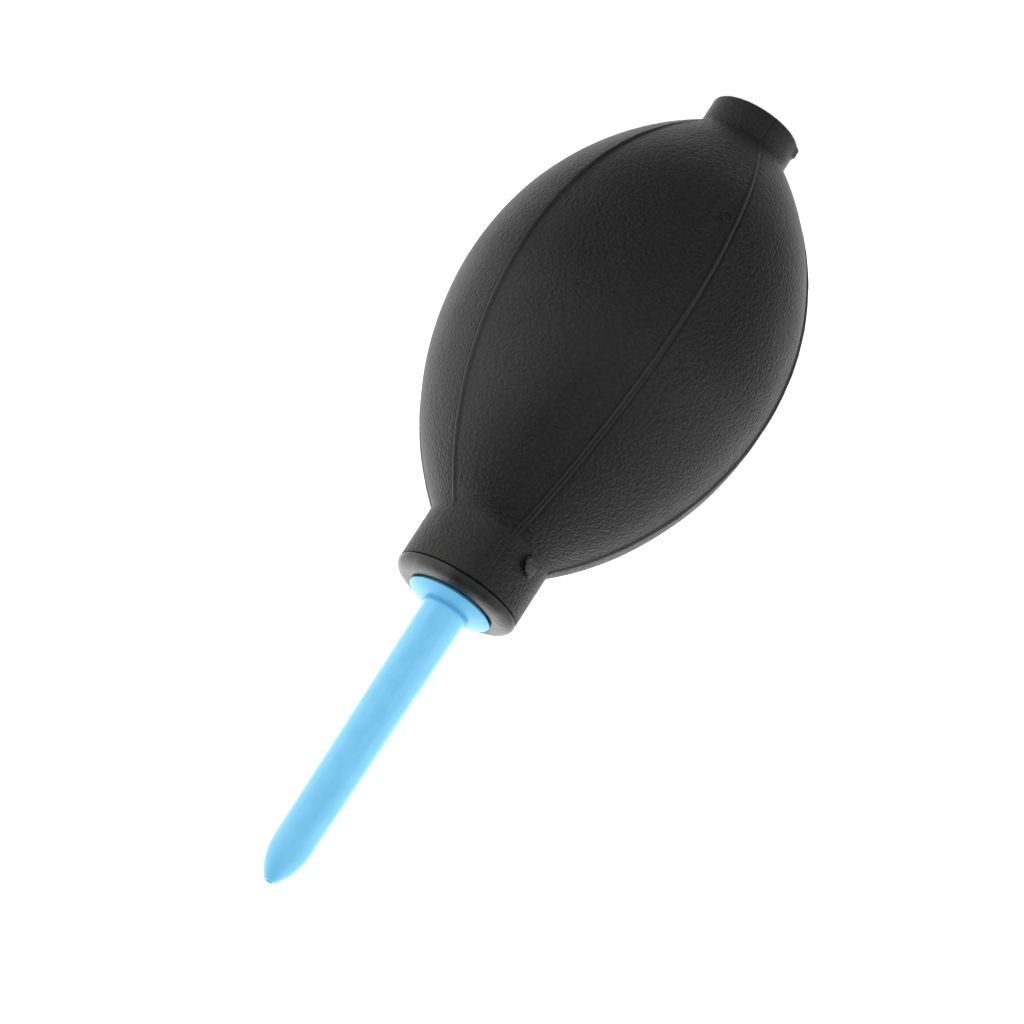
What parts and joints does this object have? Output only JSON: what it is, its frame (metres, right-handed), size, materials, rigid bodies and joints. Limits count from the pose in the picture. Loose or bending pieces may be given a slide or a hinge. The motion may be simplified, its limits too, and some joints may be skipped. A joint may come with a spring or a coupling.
{
  "type": "dust blower bulb",
  "caption": "Hand-squeezed black rubber dust blower bulb with a slim blue push-in nozzle and an air inlet valve in its rear collar.",
  "frame": {"origin": "centre of the flat rim of the rear collar, which the blower stands on", "axes": "+Z along the axis towards the nozzle's tip, +X and -X towards the two walls that are pressed in"},
  "size_m": [0.05, 0.05, 0.136],
  "materials": {
    "grained_rubber": "fine moulded leather grain, satin",
    "smooth_rubber": "smooth satin",
    "blue_plastic": "satin light blue, slightly translucent",
    "valve_plastic": "satin black"
  },
  "bodies": {
    "bulb": {"bulb_shell": "grained_rubber", "neck_bung": "smooth_rubber", "inlet_valve_body": "valve_plastic", "inlet_valve_cage": "valve_plastic"},
    "wall_right": {"squeeze_wall_right": "grained_rubber"},
    "wall_left": {"squeeze_wall_left": "grained_rubber"},
    "nozzle": {"nozzle_flange": "blue_plastic", "nozzle_tube": "blue_plastic"},
    "inlet_disc": {"inlet_valve_disc": "smooth_rubber"}
  },
  "joints": [
    {"name": "squeeze_right", "type": "slide", "parent": "bulb", "child": "wall_right", "axis": [-1, 0, 0], "range_m": [0, 0.01], "stiffness_N_per_m": 800},
    {"name": "squeeze_left", "type": "slide", "parent": "bulb", "child": "wall_left", "axis": [1, 0, 0], "range_m": [0, 0.01], "stiffness_N_per_m": 800},
    {"name": "nozzle_pull", "type": "slide", "parent": "bulb", "child": "nozzle", "axis": [0, 0, 1], "range_m": [0, 0.012]},
    {"name": "inlet_disc_lift", "type": "slide", "parent": "bulb", "child": "inlet_disc", "axis": [0, 0, 1], "range_m": [0, 0.0008]}
  ]
}
